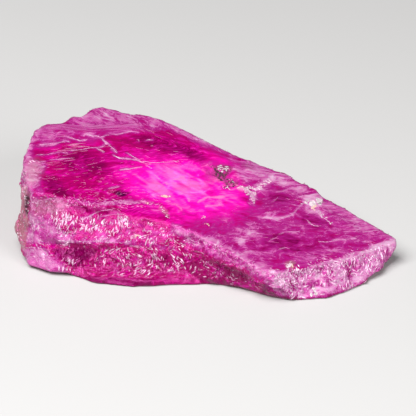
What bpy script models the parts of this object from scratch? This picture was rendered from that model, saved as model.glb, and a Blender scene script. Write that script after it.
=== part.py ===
"""A rough sapphire crystal: one six-sided tabular plate, thick at its left end and thin at its right tip.

The top is a sloping flat face with low growth steps. Under it the front is stepped: an upper layer ends in a
lip, a lower layer stands back beneath the lip, and a smooth flat sole lies under both. The side faces are
chipped and fluted. Lengths are in millimetres until build() scales them to metres. +Z is up, +X runs to the
thin tip, and the origin is at the middle of the base.
"""

import math

import bmesh
import bpy
from mathutils import Matrix, Vector, noise

MM = 0.001

# The top face is a tilted plane: its height above the base at the origin, its fall towards the tip and its
# rise towards the back.
TOP_HEIGHT = 2.29
TOP_FALL = 0.15
TOP_RISE = 0.12

# The lip under the upper layer is level at the thick end and dips towards the tip.
LIP_HEIGHT = 1.36
LIP_DIP_START = 0.2
LIP_DIP = 0.30
LIP_LOWEST = 0.22

# How far the lower layer reaches up inside the upper one, and how high the sole reaches inside the lower one.
LAYER_OVERLAP = 0.35
SOLE_HEIGHT = 0.32

# Edge of the top face, anticlockwise from the tip: x, y, how far the brow under it stands out, how far the lip
# does. A brow is a narrow facet that falls from the edge. The lip stands in, under the edge, at the tip.
# The long edges keep the directions of a six-sided plate: 30 degrees, -30 degrees and 90 degrees.
TOP_EDGE = (
    (7.98, -1.50, 0.03, -0.60),
    (7.90, -1.20, 0.03, -0.45),
    (6.62, -0.18, 0.05, 0.05),
    (5.10, 1.04, 0.06, 0.25),
    (4.88, 1.12, 0.06, 0.25),
    (4.66, 1.54, 0.06, 0.28),
    (3.10, 2.68, 0.06, 0.35),
    (1.78, 3.24, 0.06, 0.30),
    (1.52, 3.20, 0.06, 0.30),
    (-1.00, 4.90, 0.06, 0.40),
    (-2.00, 5.50, 0.06, 0.35),
    (-2.90, 5.70, 0.06, 0.30),
    (-3.20, 5.56, 0.06, 0.28),
    (-4.55, 5.84, 0.06, 0.22),
    (-4.95, 5.58, 0.06, 0.22),
    (-5.36, 4.82, 0.06, 0.20),
    (-5.78, 4.66, 0.06, 0.20),
    (-6.10, 4.14, 0.06, 0.18),
    (-6.80, 4.00, 0.06, 0.22),
    (-7.38, 3.10, 0.08, 0.28),
    (-7.62, 0.90, 0.10, 0.26),
    (-7.55, -0.50, 0.10, 0.26),
    (-7.08, -1.48, 0.10, 0.34),
    (-6.10, -1.62, 0.12, 1.05),
    (-4.80, -1.54, 0.34, 1.28),
    (-3.58, -1.56, 0.46, 1.35),
    (-2.30, -1.72, 0.52, 1.15),
    (-1.50, -2.10, 0.40, 0.90),
    (-0.70, -2.85, 0.10, 0.32),
    (0.75, -3.92, 0.08, 0.24),
    (2.10, -4.95, 0.08, 0.22),
    (2.66, -5.10, 0.10, 0.34),
    (3.80, -4.48, 0.12, 0.52),
    (5.45, -3.40, 0.12, 0.72),
    (6.70, -2.50, 0.10, 0.74),
    (7.40, -2.00, 0.06, 0.20),
    (7.82, -1.72, 0.04, -0.40),
)
BROW_FALL = 0.42
BROW_LEAST_DROP = 0.07

# The lower layer: its outline under the lip, and its outline at the foot.
LOWER_TOP = (
    (7.05, -1.60),
    (5.20, 0.90),
    (2.30, 3.05),
    (-2.30, 5.70),
    (-4.60, 6.05),
    (-5.60, 5.00),
    (-7.10, 3.80),
    (-7.74, 1.20),
    (-7.50, -1.10),
    (-7.15, -1.85),
    (-5.60, -2.30),
    (-3.20, -2.62),
    (-1.20, -2.92),
    (0.60, -3.66),
    (2.10, -4.86),
    (3.00, -5.22),
    (5.40, -4.20),
    (6.70, -2.90),
)
LOWER_FOOT = (
    (6.60, -1.70),
    (5.10, 0.70),
    (2.60, 2.90),
    (-2.00, 5.40),
    (-4.50, 5.80),
    (-5.50, 4.90),
    (-7.00, 3.60),
    (-7.60, 1.20),
    (-7.66, -1.40),
    (-7.52, -2.30),
    (-6.60, -2.90),
    (-3.40, -3.28),
    (-1.20, -3.40),
    (0.70, -3.85),
    (2.10, -4.62),
    (3.40, -5.16),
    (5.60, -4.40),
    (6.70, -3.56),
)
LOWER_FOOT_HEIGHT = 0.12

# The sole, which the crystal rests on, and how far its upper edge stands in from its foot.
SOLE = (
    (6.40, -1.90),
    (5.00, 0.30),
    (2.40, 2.50),
    (-2.00, 4.80),
    (-4.20, 5.10),
    (-5.80, 3.60),
    (-6.50, 1.00),
    (-6.40, -1.60),
    (-5.60, -2.80),
    (-4.75, -3.58),
    (-3.10, -3.98),
    (-1.60, -3.82),
    (0.40, -3.70),
    (1.40, -3.98),
    (2.60, -4.80),
    (3.60, -5.14),
    (4.90, -4.98),
    (6.00, -4.12),
    (6.50, -3.50),
)
SOLE_INSET = 0.12

# The rounded knob low on the left end: centre and half-lengths.
KNOB_CENTRE = (-7.36, -0.20, 0.78)
KNOB_REACH = (0.70, 1.20, 0.60)

# Growth steps of the top face. Each is a line of plan points with rising x, how much higher the face stands
# behind it, and how far back that reaches before it has sunk to the face again.
STEPS = (
    (((-6.6, 3.0), (-5.2, 3.5), (-3.3, 4.2), (-2.4, 4.0), (-0.9, 3.5), (0.6, 2.9), (1.7, 2.3)), 0.08, 6.0),
    (((-5.6, 3.2), (-4.6, 2.9), (-3.9, 2.2), (-2.8, 2.0), (-2.1, 1.5)), 0.05, 1.4),
    (((1.9, -1.1), (3.2, -0.9), (3.7, -0.6), (4.1, 0.2), (4.6, 0.8)), 0.06, 1.6),
    (((4.5, 0.0), (5.2, -0.8), (6.0, -1.3)), 0.05, 1.0),
)
STEP_WIDTH = 0.20
STEP_WOBBLE = 0.12
STEP_WOBBLE_LENGTH = 0.8
STEP_END = 0.5

# Hollows of the top face: centre, two half-lengths, the long one's bearing in degrees, and the depth.
HOLLOWS = (
    (0.70, 1.75, 0.75, 0.42, -30, 0.15),
    (2.00, 0.75, 0.60, 0.30, -60, 0.08),
    (-6.70, 0.90, 0.45, 1.30, 0, 0.07),
)
HOLLOW_UNEVENNESS = 0.9
HOLLOW_WAVE = 0.35

# Grains of another mineral that stand on the surface: x, y, radius, height.
GRAINS = (
    (4.50, 0.52, 0.20, 0.15),
    (4.72, 0.64, 0.16, 0.13),
    (3.40, -4.36, 0.22, 0.08),
)

# Mesh fineness, and the broken look of the side faces: flat facets, then bowl-shaped chips, as (size, depth).
# Both are drawn out upwards.
VOXEL = 0.11
FACE_SHARE = 0.130
FACETS = ((1.25, 0.20), (0.60, 0.10))
CHIPS = ((0.85, 0.10), (0.45, 0.06))
UPWARD_STRETCH = 0.6
SEAT_HEIGHT = 0.28
ROUNDING_PASSES = 2

COLOUR = (0.80, 0.10, 0.45, 1.0)
ROUGHNESS = 0.25
SAPPHIRE_IOR = 1.76


def clear_scene():
    for obj in list(bpy.data.objects):
        bpy.data.objects.remove(obj)


def top_height(x, y):
    return TOP_HEIGHT - TOP_FALL * x + TOP_RISE * y


def lip_height(x):
    dipped = LIP_HEIGHT - LIP_DIP * max(0.0, x - LIP_DIP_START)
    return max(LIP_LOWEST, dipped)


def outward(points, i):
    """The direction in the plan that points out of an anticlockwise outline at its point i."""
    before = Vector(points[i - 1][:2])
    after = Vector(points[(i + 1) % len(points)][:2])
    along = (after - before).normalized()
    return Vector((along.y, -along.x))


def loft(bm, rings):
    """A closed body through rings of equally many points, listed from the lowest ring to the highest."""
    levels = [[bm.verts.new(point) for point in ring] for ring in rings]
    for low, high in zip(levels, levels[1:]):
        for i in range(len(low)):
            j = (i + 1) % len(low)
            bm.faces.new((low[i], low[j], high[j], high[i]))
    bm.faces.new(tuple(reversed(levels[0])))
    bm.faces.new(tuple(levels[-1]))


def add_upper_layer(bm):
    top, brow, lip = [], [], []
    for i, (x, y, brow_out, lip_out) in enumerate(TOP_EDGE):
        out = outward(TOP_EDGE, i)
        edge = Vector((x, y, top_height(x, y)))
        drop = max(BROW_LEAST_DROP, brow_out * BROW_FALL)
        top.append(edge)
        brow.append(edge + Vector((out.x * brow_out, out.y * brow_out, -drop)))
        lip.append(Vector((x + out.x * lip_out, y + out.y * lip_out, lip_height(x))))
    loft(bm, (lip, brow, top))


def add_lower_layer(bm):
    high = [Vector((x, y, lip_height(x) + LAYER_OVERLAP)) for x, y in LOWER_TOP]
    low = [Vector((x, y, LOWER_FOOT_HEIGHT)) for x, y in LOWER_FOOT]
    loft(bm, (low, high))


def add_sole(bm):
    low = [Vector((x, y, 0.0)) for x, y in SOLE]
    high = []
    for i, (x, y) in enumerate(SOLE):
        out = outward(SOLE, i) * SOLE_INSET
        high.append(Vector((x - out.x, y - out.y, SOLE_HEIGHT)))
    loft(bm, (low, high))


def add_knob(bm):
    place = Matrix.Translation(KNOB_CENTRE) @ Matrix.Diagonal((*KNOB_REACH, 1.0))
    bmesh.ops.create_icosphere(bm, subdivisions=3, radius=1.0, matrix=place)


def fused_body():
    """The layers, sole and knob joined in one skin of even fineness."""
    mesh = bpy.data.meshes.new("crystal")
    bm = bmesh.new()
    for add in (add_upper_layer, add_lower_layer, add_sole, add_knob):
        add(bm)
    bm.to_mesh(mesh)
    bm.free()
    obj = bpy.data.objects.new("crystal", mesh)
    bpy.context.scene.collection.objects.link(obj)
    remesh = obj.modifiers.new("one_skin", "REMESH")
    remesh.mode = "VOXEL"
    remesh.voxel_size = VOXEL
    smooth = obj.modifiers.new("worn_edges", "SMOOTH")
    smooth.factor = 0.5
    smooth.iterations = ROUNDING_PASSES
    graph = bpy.context.evaluated_depsgraph_get()
    skin = bpy.data.meshes.new_from_object(obj.evaluated_get(graph))
    obj.modifiers.clear()
    obj.data = skin
    return obj


def ramp(value, low, high):
    """0 below low, 1 above high, and smooth between."""
    t = min(1.0, max(0.0, (value - low) / (high - low)))
    return t * t * (3.0 - 2.0 * t)


def along_line(points, x):
    """The y at x of a line of points with rising x."""
    for (x0, y0), (x1, y1) in zip(points, points[1:]):
        if x <= x1:
            break
    return y0 + (y1 - y0) * (x - x0) / (x1 - x0)


def step_relief(x, y):
    """Height that the growth steps add to the top face at a point of the plan."""
    total = 0.0
    wobble = STEP_WOBBLE * noise.noise(Vector((x, y, 0.0)) / STEP_WOBBLE_LENGTH)
    for line, height, fade in STEPS:
        behind = y + wobble - along_line(line, x)
        start, stop = line[0][0], line[-1][0]
        reach = ramp(x, start, start + STEP_END) * (1.0 - ramp(x, stop, stop + STEP_END))
        rise = ramp(behind, -STEP_WIDTH, STEP_WIDTH) * (1.0 - ramp(behind, fade / 2, fade))
        total += height * rise * reach
    return total


def hollow_relief(x, y):
    """Depth that the hollows take from the top face at a point of the plan."""
    total = 0.0
    uneven = HOLLOW_UNEVENNESS * noise.noise(Vector((x, y, 5.0)) / HOLLOW_WAVE)
    for cx, cy, long_half, short_half, bearing, depth in HOLLOWS:
        turn = math.radians(bearing)
        dx, dy = x - cx, y - cy
        u = (dx * math.cos(turn) + dy * math.sin(turn)) / long_half
        v = (dy * math.cos(turn) - dx * math.sin(turn)) / short_half
        total += depth * (1.0 - ramp(math.hypot(u, v) + uneven, 0.45, 1.1))
    return total


def grain_relief(x, y):
    """Height that the grains add at a point of the plan."""
    total = 0.0
    for cx, cy, radius, height in GRAINS:
        total += height * (1.0 - ramp(math.hypot(x - cx, y - cy) / radius, 0.4, 1.0))
    return total


def facet_height(place):
    """Height of the tilted flat facet over the cell of space that holds a place, in cells."""
    centre = noise.voronoi(place)[1][0]
    tilt = noise.cell_vector(centre * 7.3) - Vector((0.5, 0.5, 0.5))
    return tilt.dot(place - centre) * 1.6


def side_relief(point):
    """How far a point of a side face moves out: flat facets, less the bowl-shaped chips between sharp rims."""
    drawn = Vector((point.x, point.y, point.z * UPWARD_STRETCH))
    total = 0.0
    for size, height in FACETS:
        total += height * facet_height(drawn / size)
    for size, depth in CHIPS:
        nearest = noise.voronoi(drawn / size)[0][0]
        total -= depth * (0.7 - min(1.0, nearest) ** 2)
    return total


def carve(obj):
    """Moves each point of the even skin: the sides are broken, the top gets its steps, and the seat stays flat."""
    mesh = obj.data
    normals = [vertex.normal.copy() for vertex in mesh.vertices]
    for vertex, normal in zip(mesh.vertices, normals):
        x, y, z = vertex.co
        side = 1.0 - ramp(abs(normal.z), 0.60, 0.95)
        above_seat = ramp(z, 0.0, SEAT_HEIGHT)
        move = normal * (side_relief(vertex.co) * side * above_seat)
        on_top = ramp(normal.z, 0.75, 0.97) * ramp(z, 0.5, 0.8)
        move.z += on_top * (step_relief(x, y) - hollow_relief(x, y) + grain_relief(x, y))
        vertex.co += move
        vertex.co.z = max(0.0, vertex.co.z)


def centre_plan(mesh):
    """Moves the body in the plan so that the middle of its box stands over the origin."""
    xs = [vertex.co.x for vertex in mesh.vertices]
    ys = [vertex.co.y for vertex in mesh.vertices]
    middle = Vector((min(xs) + max(xs), min(ys) + max(ys), 0.0)) / 2
    mesh.transform(Matrix.Translation(-middle))


def finish_body(obj):
    thin = obj.modifiers.new("fewer_faces", "DECIMATE")
    thin.ratio = FACE_SHARE
    graph = bpy.context.evaluated_depsgraph_get()
    mesh = bpy.data.meshes.new_from_object(obj.evaluated_get(graph))
    obj.modifiers.clear()
    obj.data = mesh
    centre_plan(mesh)
    mesh.transform(Matrix.Scale(MM, 4))
    mesh.shade_flat()


def add_material(obj):
    material = bpy.data.materials.new("sapphire")
    material.use_nodes = True
    shader = material.node_tree.nodes["Principled BSDF"]
    shader.inputs["Base Color"].default_value = COLOUR
    shader.inputs["Roughness"].default_value = ROUGHNESS
    shader.inputs["IOR"].default_value = SAPPHIRE_IOR
    shader.inputs["Transmission Weight"].default_value = 0.5
    obj.data.materials.clear()
    obj.data.materials.append(material)


def build():
    clear_scene()
    crystal = fused_body()
    carve(crystal)
    finish_body(crystal)
    add_material(crystal)


build()
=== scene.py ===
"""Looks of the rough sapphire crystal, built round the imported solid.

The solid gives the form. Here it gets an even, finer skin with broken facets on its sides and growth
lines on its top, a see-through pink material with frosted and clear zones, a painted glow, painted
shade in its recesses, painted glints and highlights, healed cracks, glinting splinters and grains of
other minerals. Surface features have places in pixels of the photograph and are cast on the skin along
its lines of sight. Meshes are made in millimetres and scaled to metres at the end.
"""

import math
import random

import bmesh
import bpy
import numpy as np
from mathutils import Matrix, Vector, noise
from mathutils.bvhtree import BVHTree


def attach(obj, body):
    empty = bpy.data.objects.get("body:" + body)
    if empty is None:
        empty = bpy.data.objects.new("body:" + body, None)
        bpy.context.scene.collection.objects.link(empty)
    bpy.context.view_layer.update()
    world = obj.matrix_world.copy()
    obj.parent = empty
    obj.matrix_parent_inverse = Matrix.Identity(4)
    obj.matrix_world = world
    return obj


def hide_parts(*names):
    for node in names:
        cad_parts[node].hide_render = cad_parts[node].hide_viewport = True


MM = 0.001

# The photograph's camera, in millimetres: it looks along +Y, down by the elevation.
PICTURE_SIDE = 416
PICTURE_MIDDLE = PICTURE_SIDE / 2
LENS = 300.0
SENSOR = 36.0
ELEVATION = math.radians(26.0)
PIXELS_PER_MM = 24.0
FOCAL_PIXELS = PICTURE_SIDE * LENS / SENSOR
AIM = Vector((0.114, -0.336, 1.71))
VIEW_RIGHT = Vector((1.0, 0.0, 0.0))
VIEW_UP = Vector((0.0, math.sin(ELEVATION), math.cos(ELEVATION)))
VIEW_AHEAD = Vector((0.0, math.cos(ELEVATION), -math.sin(ELEVATION)))
EYE = AIM - VIEW_AHEAD * (FOCAL_PIXELS / PIXELS_PER_MM)
NEAREST = 1.0

# Fineness of the skin, and how it is smoothed before the fine relief.
SKIN_VOXEL = 0.064
SKIN_SMOOTHING = 3
SMOOTHING_FACTOR = 0.5

# Fine relief of the sides, as (size, depth) of tilted facets drawn out upwards. The factors turn the
# middle of a facet into its own random tilt and tint.
SIDE_FACETS = ((0.36, 0.085), (0.17, 0.045))
UPWARD_STRETCH = 0.55
FACET_SLOPE = 1.6
TILT_FACTOR = 7.3
TINT_FACTOR = 11.7

# Growth lines of the top, on a slower swell, in mm. The layers keep the two noises apart.
GROWTH_BEARING = math.radians(12.0)
GROWTH_SPACING = 0.16
GROWTH_HEIGHT = 0.010
GROWTH_CHANGE = 0.12
GROWTH_LAYER = 9.0
SWELL_SIZE = 1.1
SWELL_HEIGHT = 0.03
SWELL_LAYER = 4.0

# Where the relief fades: how level a side and the top are, from 0 to 1, and their heights in mm.
SIDE_LEVELS = (0.45, 0.85)
TOP_LEVELS = (0.80, 0.98)
SIDE_HEIGHTS = (0.0, 0.25)
TOP_HEIGHTS = (0.4, 0.8)

# Places with less weight than this get no relief, and the middle tint.
LEAST_WEIGHT = 0.01
MIDDLE_TINT = 0.5

# Streaks of the material: their bearings in degrees, the columns where the right part begins, the plan
# line of the back terrace, how far behind it they turn, and how level the skin is where they run up.
LEFT_BEARING = 27
RIGHT_BEARING = 13
BACK_BEARING = -31
RIGHT_PART = (190, 260)
BACK_TERRACE_LINE = ((-5.1, -3.2, -2.4, -0.9, 0.6, 1.4), (3.2, 3.9, 3.7, 3.1, 2.6, 2.1))
BACK_TERRACE_START = (-0.1, 0.5)
STREAK_LEVELS = (0.5, 0.8)

# Haloes of the cracks: their reach as a multiple of the crack's width, and their strength.
HALO_REACH = 2.2
HALO_STRENGTH = 0.5

# The share of its frost that a dark place loses, and the frost of the sides that aren't seen.
DARK_CLEARS_FROST = 0.8
UNSEEN_FROST = 0.55

# Zone outlines waver by this many pixels, less in rows than in columns, over waves this long in mm.
WAVER = 3.0
WAVER_FLATNESS = 0.6
WAVER_LENGTH = 0.5

# How far the skin is turned towards the camera where the zones fade in.
SEEN_RANGE = (-0.05, 0.15)

# Faces less level than this are flat-shaded.
FLAT_SHADED_BELOW = 0.78

# Ribbons of cracks and flecks: the shortest and longest run past a point, the depth of their edges and
# the height of their middle in mm, and the shares that shape their ends and their arch.
RIBBON_RUNS = (1e-4, 0.6)
RIBBON_END_SHARE = 0.15
RIBBON_FULLNESS = 0.6
RIBBON_SINK = 0.004
RIBBON_LIFT = 0.006
RIBBON_ARCH = 0.25

# Ribbons of a crack: spacing, shift and raggedness in pixels, passes, how many points they run for and
# skip, and their widths as shares of the crack's.
CRACK_SPACING = 1.6
CRACK_PASSES = 2
CRACK_RUN = (3, 7)
CRACK_SHIFT = 0.5
CRACK_RAGGEDNESS = 0.40
CRACK_WIDTHS = (0.25, 0.80)
CRACK_GAPS = (-1, 0, 0, 1, 2)

# Flecks: size and reach of a group, step in pixels, turn in degrees, bend and wander in radians.
FLECK_GROUP = 4
FLECK_REACH = (6.0, 2.0)
FLECK_TURN = 4
FLECK_STEP = 1.5
FLECK_BEND = 0.15
FLECK_WANDER = 0.20

# Splinters: size, reach in pixels and turn in degrees of a fan, their widths and height as shares, and
# their tilt in radians.
FAN_SIZE = 5
FAN_REACH = 3.0
FAN_FLATNESS = 0.7
FAN_TURN = 14
SPLINTER_WIDTHS = (0.14, 0.30)
SPLINTER_HEIGHT = 0.45
SPLINTER_TILT = 0.9

# Splinters of the sides that the photograph doesn't show: how many, their lengths in mm, their shape, and
# how upright and how far turned from the camera their faces are.
UNSEEN_GLINTS = 900
UNSEEN_GLINT_LENGTHS = (0.08, 0.28)
UNSEEN_GLINT_WIDTH = 0.22
UNSEEN_GLINT_LEAN = 0.5
UPRIGHT = 0.5
TURNED_AWAY = 0.1

# Grains: turns in radians, breadths as shares of the radius, and how far their corners move.
GRAIN_TURNS = (0, 6.28)
GRAIN_BREADTHS = (0.7, 1.3)
GRAIN_JITTER = 0.25

# Colours of the crystal's body, its frosting and its marks. Glow pink and the lit veil paint a glow, and the
# stroke colour paints glints on the broken sides.
CRIMSON = (0.530, 0.000, 0.160, 1.0)
HOT_PINK = (0.900, 0.004, 0.450, 1.0)
GLOW_PINK = (0.900, 0.130, 0.530, 1.0)
DEEP = (0.200, 0.000, 0.070, 1.0)
INK = (0.045, 0.002, 0.045, 1.0)
ORCHID = (0.345, 0.008, 0.182, 1.0)
LILAC = (0.385, 0.062, 0.245, 1.0)
PALE_LILAC = (0.500, 0.270, 0.420, 1.0)
LIT_VEIL = (0.860, 0.120, 0.370, 1.0)
GLINT_STROKE = (0.720, 0.440, 0.620, 1.0)
CREAM = (0.440, 0.270, 0.250, 1.0)
GREY = (0.150, 0.035, 0.075, 1.0)

# How the crystal takes light: on the skin, under it, inside, and over its fine relief.
SAPPHIRE_IOR = 1.76
SHEEN_LEVEL = 0.3
SHEEN_TINT = (1.000, 0.200, 0.700, 1.0)
SCATTER_WEIGHT = 0.25
SCATTER_RADIUS = (1.0, 0.15, 0.5)
SCATTER_DEPTH = 0.3 * MM
ABSORPTION_COLOUR = (0.93, 0.30, 0.72, 1.0)
ABSORPTION_DENSITY = 350.0
BUMP_HEIGHT = 0.02 * MM
BUMP_STRENGTH = 0.5

# Noise that bends the streaks, as (size, reach), and the bearing of the veils in the glow.
FLOW_BENDS = ((0.9, 0.55), (0.25, 0.09))
VEIL_BEARING = -42

# Colours of the small features, and the size of their mottling in mm.
VEIL_COLOUR = (0.60, 0.29, 0.50, 1.0)
FLECK_COLOUR = (0.66, 0.15, 0.42, 1.0)
# The splinters' pale colour is partly their own and partly a painted glint.
SPLINTER_AND_GLINT_COLOUR = (0.80, 0.44, 0.66, 1.0)
WHITE_COLOUR = (0.56, 0.46, 0.50, 1.0)
CRUST_COLOUR = (0.72, 0.50, 0.60, 1.0)
CREAM_COLOUR = (0.60, 0.40, 0.34, 1.0)
MICA_COLOUR = (0.085, 0.022, 0.045, 1.0)
MOTTLE_SIZE = 0.08

# The floor, each light's place, size and power, in metres and watts, and the room.
FLOOR_SIZE = 0.6
FLOOR_COLOUR = (0.44, 0.435, 0.43, 1.0)
FLOOR_ROUGHNESS = 0.7
KEY_LIGHT = ((-0.05, -0.05, 0.12), (0.12, 0.12), 0.44)
FILL_LIGHT = ((0.09, -0.10, 0.07), (0.08, 0.08), 0.17)
ROOM_COLOUR = (0.03, 0.03, 0.033, 1.0)


def pairs(*numbers):
    """Points of the photograph from a run of columns and rows."""
    return tuple(zip(numbers[::2], numbers[1::2]))


# Zones of the skin: strength from 0 to 1, softness of the edge in pixels, and outline.
# First the pale frosting.
FROST_ZONES = (
    # Terrace along the back edge.
    (0.42, 5, pairs(41, 126, 52, 119, 67, 116, 82, 112, 100, 102, 125, 107, 152, 112, 180, 122, 204, 134,
        230, 147, 244, 156, 232, 158, 215, 150, 196, 141, 180, 136, 165, 133, 150, 131, 135, 132, 120, 134,
        108, 134, 95, 133, 80, 129, 60, 131, 45, 135)),
    # Left margin.
    (0.75, 4, pairs(20, 172, 24, 150, 32, 132, 41, 125, 44, 130, 36, 143, 32, 150, 32, 158, 38, 161,
        45, 163, 46, 168, 40, 175, 35, 184, 31, 187, 28, 197, 20, 196)),
    # Back-left corner.
    (0.35, 5, pairs(40, 130, 60, 126, 85, 128, 104, 137, 92, 142, 70, 142, 52, 145, 40, 146)),
    # Salmon patch at the front-left edge.
    (0.62, 3, pairs(30, 197, 46, 197, 62, 199, 66, 205, 60, 213, 32, 217)),
    (0.3, 3, pairs(62, 198, 72, 199, 75, 205, 70, 214, 58, 214)),
    # Margin beside the dark patch.
    (0.4, 3, pairs(30, 176, 42, 176, 42, 186, 46, 194, 60, 199, 32, 200)),
    # Peak of the terrace.
    (0.25, 5, pairs(78, 112, 100, 102, 125, 107, 140, 112, 140, 128, 108, 132, 85, 128)),
    # Behind the grey grains.
    (0.3, 4, pairs(226, 155, 250, 160, 262, 170, 248, 178, 234, 172)),
    # Right of the glow.
    (0.18, 5, pairs(246, 204, 262, 200, 275, 216, 262, 232, 244, 224)),
    # Right half of the terrace.
    (0.2, 4, pairs(184, 126, 204, 136, 230, 148, 252, 158, 262, 166, 244, 163, 228, 160, 212, 152, 200, 145,
        188, 138)),
    # Below the glow.
    (0.3, 5, pairs(186, 222, 214, 215, 240, 221, 262, 226, 262, 262, 240, 250, 215, 238, 195, 231)),
    # Veils in the glow.
    (0.24, 5, pairs(196, 196, 226, 192, 240, 200, 244, 214, 228, 222, 208, 214, 198, 206)),
    # Edge above the dark facet.
    (0.5, 2, pairs(75, 199, 100, 201, 125, 199, 150, 200, 161, 204, 150, 205, 120, 204, 100, 206, 88, 205,
        76, 205)),
    # Shoulder and its left end.
    (0.22, 3, pairs(28, 216, 75, 217, 100, 218, 120, 218, 135, 220, 150, 224, 168, 231, 183, 241, 198, 252,
        180, 250, 160, 249, 130, 246, 88, 246, 75, 247, 55, 247, 28, 243)),
    (0.62, 3, pairs(29, 214, 48, 216, 58, 226, 72, 236, 70, 244, 29, 243)),
    # Toe.
    (0.8, 4, pairs(22, 246, 45, 248, 55, 260, 66, 267, 64, 275, 38, 275, 26, 264)),
    # Lower layer.
    (0.12, 4, pairs(50, 249, 190, 250, 200, 262, 205, 277, 110, 277, 70, 270)),
    # Rim that runs down to the right.
    (0.78, 4, pairs(173, 224, 182, 227, 200, 233, 222, 242, 246, 254, 266, 264, 275, 284, 285, 298,
        262, 284, 247, 272, 222, 260, 200, 250, 183, 241, 170, 232)),
    # Front-right face.
    (0.9, 2, pairs(262, 270, 300, 271, 330, 260, 365, 250, 396, 235, 405, 240, 392, 263, 379, 278, 347, 296,
        305, 303, 284, 300, 268, 285)),
    # Right part of the top, and its back edge.
    (0.42, 8, pairs(245, 160, 262, 161, 300, 178, 330, 196, 370, 218, 402, 240, 365, 250, 330, 260,
        300, 270, 262, 268, 240, 256, 226, 240, 236, 224, 262, 216, 262, 200, 255, 180)),
    (0.24, 5, pairs(262, 160, 300, 177, 326, 193, 345, 203, 395, 232, 380, 236, 335, 216, 312, 203,
        285, 188, 262, 178)),
    # White vein.
    (0.7, 3, pairs(236, 184, 250, 188, 264, 179, 274, 174, 275, 181, 266, 187, 258, 194, 255, 206, 249, 204,
        249, 195, 238, 190)),
    # Round the grey grains.
    (0.4, 4, pairs(198, 160, 215, 160, 236, 166, 262, 168, 272, 174, 262, 180, 244, 186, 232, 192, 216, 186,
        202, 174)),
    # Round the white grains.
    (0.7, 3, pairs(302, 200, 312, 195, 323, 198, 320, 207, 308, 208)),
)

# Darker places: deep parts of the crystal, and painted shade in its recesses, hollows and overhangs.
DARK_ZONES = (
    # Purple band, dark patch and field of the left part.
    (0.5, 4, pairs(130, 136, 150, 134, 170, 138, 190, 147, 201, 156, 205, 164, 195, 161, 180, 156, 165, 151,
        150, 147, 138, 143)),
    (0.6, 4, pairs(44, 178, 55, 178, 68, 190, 78, 197, 60, 197, 46, 190)),
    (0.45, 6, pairs(60, 152, 85, 150, 105, 160, 110, 172, 85, 176, 62, 168)),
    # Inclusion.
    (0.9, 2, pairs(114, 193, 119, 190, 124, 190, 131, 192, 127, 196, 119, 197)),
    # Dark facet.
    (0.55, 2, pairs(73, 204, 88, 206, 105, 207, 120, 208, 118, 213, 100, 215, 84, 213, 74, 209)),
    (0.3, 2, pairs(118, 206, 135, 206, 160, 207, 168, 215, 169, 221, 150, 217, 130, 213, 118, 213)),
    # Painted shade in the recess under the lip.
    (0.74, 2, pairs(50, 249, 75, 248, 100, 249, 96, 256, 84, 262, 76, 268, 62, 262)),
    # Painted shade on the lower layer, recessed under the shoulder.
    (0.32, 5, pairs(84, 258, 110, 254, 150, 253, 190, 255, 200, 276, 150, 278, 110, 277, 76, 273)),
    # Painted shade in the triangle under the rim.
    (0.36, 4, pairs(193, 253, 209, 257, 221, 260, 247, 273, 258, 282, 240, 288, 200, 281, 192, 268)),
    # Windows of the right part.
    (0.68, 2, pairs(262, 235, 290, 234, 300, 240, 298, 250, 285, 252, 268, 247)),
    (0.72, 2, pairs(300, 214, 326, 217, 331, 226, 315, 230, 303, 224)),
    (0.6, 4, pairs(266, 190, 285, 190, 293, 203, 280, 211, 268, 203)),
    # Front of the right part.
    (0.35, 5, pairs(240, 236, 262, 230, 300, 232, 350, 240, 330, 250, 300, 256, 260, 255)),
    # Right half of the terrace.
    (0.4, 4, pairs(205, 128, 225, 140, 238, 150, 228, 150, 210, 142)),
    # Above the rim.
    (0.3, 4, pairs(200, 248, 225, 240, 250, 252, 268, 262, 245, 262)),
    # Sole.
    (0.75, 2, pairs(64, 273, 85, 276, 125, 278, 153, 279, 150, 292, 64, 292)),
    (0.42, 2, pairs(153, 279, 185, 277, 225, 280, 245, 285, 275, 294, 275, 300, 150, 292)),
    # End of the purple band.
    (0.35, 5, pairs(176, 143, 200, 148, 205, 158, 190, 156, 176, 150)),
    # Foot of the front-right face.
    (0.75, 2, pairs(262, 284, 285, 296, 305, 298, 345, 291, 378, 273, 385, 272, 379, 280, 347, 298,
        305, 305, 284, 302, 262, 292)),
    # Painted shade in the hollows of the front-right face.
    (0.45, 2, pairs(290, 272, 298, 271, 302, 280, 294, 290, 288, 282)),
    (0.45, 2, pairs(322, 266, 330, 264, 334, 276, 328, 286, 322, 276)),
    (0.4, 2, pairs(344, 262, 352, 260, 356, 272, 350, 280, 344, 272)),
    (0.35, 2, pairs(306, 276, 314, 274, 316, 284, 308, 286)),
    (0.35, 2, pairs(364, 256, 370, 255, 374, 266, 368, 272)),
)

# Painted glow: places painted brighter, as if lit from inside.
PAINTED_GLOW_ZONES = (
    # The whole glow, its core and its lower edge.
    (0.52, 16, pairs(112, 176, 140, 158, 180, 154, 225, 160, 246, 180, 250, 205, 232, 222, 190, 222,
        162, 210, 134, 200)),
    (0.5, 10, pairs(134, 183, 150, 167, 184, 165, 205, 180, 202, 194, 186, 198, 154, 196)),
    (0.1, 7, pairs(184, 202, 200, 200, 220, 206, 209, 214, 190, 212)),
    # Right half of the dark facet.
    (0.18, 4, pairs(118, 206, 142, 205, 160, 206, 169, 214, 169, 222, 150, 218, 120, 213)),
)

SOLE = pairs(
    64, 273, 85, 276, 125, 278, 153, 279, 185, 277, 225, 280, 245, 285, 275, 294, 275, 302, 60, 295
)

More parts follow.
